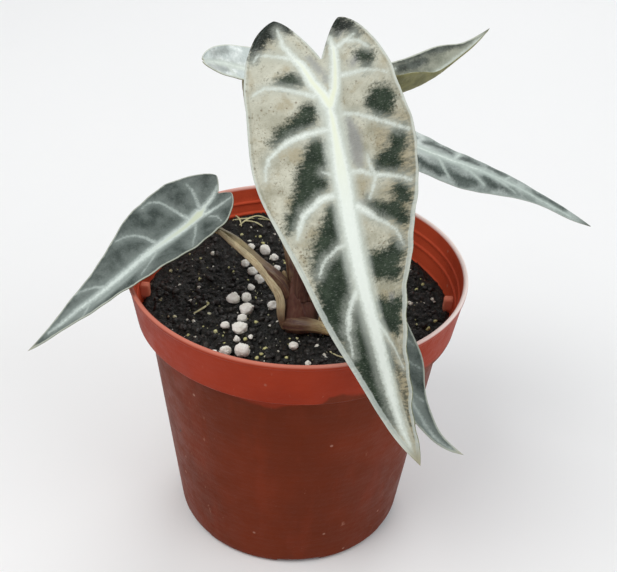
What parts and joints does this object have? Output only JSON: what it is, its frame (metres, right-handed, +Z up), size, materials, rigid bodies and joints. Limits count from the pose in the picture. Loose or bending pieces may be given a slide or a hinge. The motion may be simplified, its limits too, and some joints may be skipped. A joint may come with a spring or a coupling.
{
  "type": "potted alocasia",
  "caption": "Dwarf arrow-leaf alocasia with silver-veined, cream-mottled leaves on slender stalks, growing in dark compost in a terracotta-coloured plastic nursery pot.",
  "frame": {"origin": "on the floor, on the pot's centre line, in the plane of the foot ring", "axes": "+Z up along the pot's centre line; -Y is the front, towards which the largest leaf hangs; +X is to the right seen from the front"},
  "size_m": [0.191, 0.1543, 0.1989],
  "materials": {
    "pot_plastic": "thin moulded terracotta-red plastic, satin",
    "compost": "dark peat and bark compost, dull",
    "maroon_stalk": "living stalk, smooth, satin",
    "green_stalk": "living stalk, smooth, satin",
    "mottled_leaf": "living blade, cream with dark green patches, satin",
    "dark_leaf": "living blade, dark grey-green with silver veins, satin",
    "silver_leaf": "living blade, silver with dark patches, satin",
    "old_stalk": "old stalk base, dull",
    "dry_sheath": "dry papery sheath",
    "perlite": "rough white grain, dull"
  },
  "bodies": {
    "root": {"pot": "pot_plastic", "soil": "compost", "crown": "maroon_stalk", "stalk_main": "maroon_stalk", "stalk_left": "green_stalk", "stalk_right": "green_stalk", "stalk_back": "green_stalk", "stalk_under": "green_stalk", "leaf_main": "mottled_leaf", "leaf_left": "dark_leaf", "leaf_right": "silver_leaf", "leaf_back": "silver_leaf", "leaf_under": "dark_leaf", "sheath_left": "dry_sheath", "old_stalk": "old_stalk", "dry_scale": "dry_sheath", "torn_scale": "dry_sheath", "perlite_01": "perlite", "perlite_02": "perlite", "perlite_03": "perlite", "perlite_04": "perlite", "perlite_05": "perlite", "perlite_06": "perlite", "perlite_07": "perlite", "perlite_08": "perlite", "perlite_09": "perlite", "perlite_10": "perlite", "perlite_11": "perlite", "perlite_12": "perlite", "perlite_13": "perlite", "perlite_14": "perlite", "perlite_15": "perlite", "perlite_16": "perlite", "perlite_17": "perlite", "perlite_18": "perlite", "perlite_19": "perlite", "perlite_20": "perlite", "perlite_21": "perlite", "perlite_22": "perlite"}
  },
  "joints": []
}
